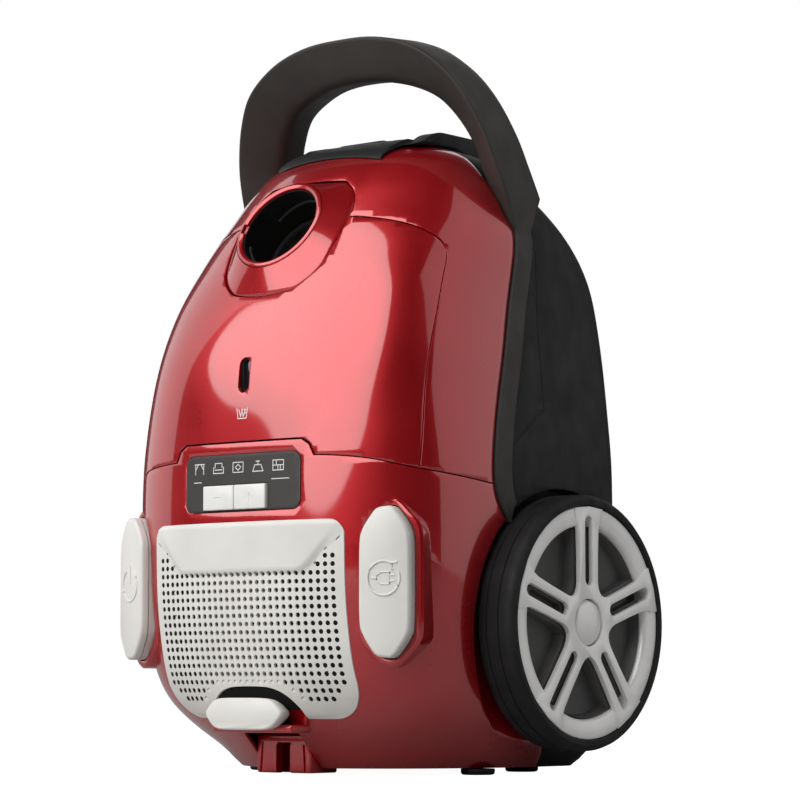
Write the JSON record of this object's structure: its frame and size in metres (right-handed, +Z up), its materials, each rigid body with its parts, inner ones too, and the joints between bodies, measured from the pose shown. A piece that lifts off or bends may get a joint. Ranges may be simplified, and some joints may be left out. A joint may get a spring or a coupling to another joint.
{
  "type": "canister vacuum cleaner",
  "caption": "Upright-parked canister vacuum cleaner with arched carry handle, hinged bag lid, hose inlet, exhaust grille door, foot pedals, large side wheels and a swivel caster.",
  "frame": {"origin": "centre of the bounding box on the floor plane, machine standing parked on its rear end", "axes": "+Z up along the machine's length, -Y the lid and control side, +X the machine's right flank"},
  "size_m": [0.2816, 0.2286, 0.4453],
  "materials": {
    "red": "metallic red gloss paint on plastic",
    "black": "fine-grained black plastic",
    "handle": "soft dark grey plastic",
    "light": "satin light grey plastic",
    "silver": "satin silver paint on plastic",
    "panel": "dark grey plastic",
    "button": "white plastic",
    "rubber": "matt black rubber",
    "steel": "plain steel",
    "grey": "mid grey plastic",
    "filter": "pleated white filter paper",
    "bag": "non-woven bag fleece",
    "board": "green circuit board",
    "copper": "copper windings",
    "window": "smoked clear plastic"
  },
  "bodies": {
    "body": {"lower_shell": "red", "upper_frame": "red", "base_shell": "black", "handle": "handle", "top_crown": "black", "control_panel": "panel", "circuit_board": "board", "lid_hinge_pin_left": "steel", "lid_hinge_pin_right": "steel", "grille_hinge_pin": "steel", "power_switch": "grey", "rewind_brake_lever": "grey", "exhaust_filter": "filter", "filter_frame": "grey", "chamber_wall": "black", "motor_filter": "filter", "dust_bag": "bag", "bag_collar": "grey", "motor_housing": "grey", "motor_mount_ring": "rubber", "motor_stator": "steel", "drum_axle": "grey", "cord_outlet": "black", "wheel_axle_left": "steel", "wheel_axle_right": "steel", "caster_socket": "black", "foot_front_left": "rubber", "foot_front_right": "rubber", "foot_rear_left": "rubber", "foot_rear_right": "rubber", "parking_hook": "red"},
    "lid_group": {"lid": "red", "inlet_plate": "red", "inlet_collar": "red", "inlet_seal": "rubber", "bag_full_window": "window", "lid_hinge_left": "black", "lid_hinge_right": "black"},
    "latch_slide": {"lid_latch": "black"},
    "exhaust_door": {"exhaust_grille": "light"},
    "door_latch": {"grille_latch": "light"},
    "power_pedal": {"pedal_power": "light"},
    "rewind_pedal": {"pedal_rewind": "light"},
    "minus_key": {"button_minus": "button"},
    "plus_key": {"button_plus": "button"},
    "wheel_left": {"wheel_tyre_left": "rubber", "wheel_rim_left": "silver", "wheel_cap_left": "silver"},
    "wheel_right": {"wheel_tyre_right": "rubber", "wheel_rim_right": "silver", "wheel_cap_right": "silver"},
    "caster_swivel": {"caster_fork": "black", "caster_axle": "steel"},
    "caster_roller": {"caster_wheel": "rubber"},
    "rotor": {"motor_rotor": "copper"},
    "reel": {"cord_drum": "black"}
  },
  "joints": [
    {"name": "lid_open", "type": "hinge", "parent": "body", "child": "lid_group", "pos_m": [0, -0.10685, 0.1852], "axis": [1, 0, 0], "range_deg": [0, 65]},
    {"name": "lid_latch_slide", "type": "slide", "parent": "body", "child": "latch_slide", "axis": [0, 1, 0], "range_m": [0, 0.004], "stiffness_N_per_m": 300},
    {"name": "exhaust_door_open", "type": "hinge", "parent": "body", "child": "exhaust_door", "pos_m": [0, -0.11185, 0.1448], "axis": [1, 0, 0], "range_deg": [-55, 0]},
    {"name": "exhaust_latch_slide", "type": "slide", "parent": "exhaust_door", "child": "door_latch", "axis": [0, 0, -1], "range_m": [0, 0.002], "stiffness_N_per_m": 600},
    {"name": "power_pedal_press", "type": "slide", "parent": "body", "child": "power_pedal", "axis": [0.342, 0.9397, 0], "range_m": [0, 0.005], "stiffness_N_per_m": 1500},
    {"name": "rewind_pedal_press", "type": "slide", "parent": "body", "child": "rewind_pedal", "axis": [-0.342, 0.9397, 0], "range_m": [0, 0.005], "stiffness_N_per_m": 1500},
    {"name": "minus_press", "type": "slide", "parent": "body", "child": "minus_key", "axis": [0, 1, 0], "range_m": [0, 0.0012], "stiffness_N_per_m": 800},
    {"name": "plus_press", "type": "slide", "parent": "body", "child": "plus_key", "axis": [0, 1, 0], "range_m": [0, 0.0012], "stiffness_N_per_m": 800},
    {"name": "wheel_left_spin", "type": "hinge", "parent": "body", "child": "wheel_left", "pos_m": [-0.127, 0.03935, 0.0887], "axis": [1, 0, 0], "continuous": true},
    {"name": "wheel_right_spin", "type": "hinge", "parent": "body", "child": "wheel_right", "pos_m": [0.127, 0.03935, 0.0887], "axis": [1, 0, 0], "continuous": true},
    {"name": "caster_turn", "type": "hinge", "parent": "body", "child": "caster_swivel", "pos_m": [0, 0.08205, 0.272], "axis": [0, 1, 0], "continuous": true},
    {"name": "caster_roll", "type": "hinge", "parent": "caster_swivel", "child": "caster_roller", "pos_m": [0, 0.10035, 0.264], "axis": [1, 0, 0], "continuous": true},
    {"name": "motor_spin", "type": "hinge", "parent": "body", "child": "rotor", "pos_m": [-0.044, 0.03205, 0.12], "axis": [0, 0, 1], "continuous": true},
    {"name": "reel_spin", "type": "hinge", "parent": "body", "child": "reel", "pos_m": [0.053, 0.03205, 0.092], "axis": [1, 0, 0], "continuous": true}
  ]
}
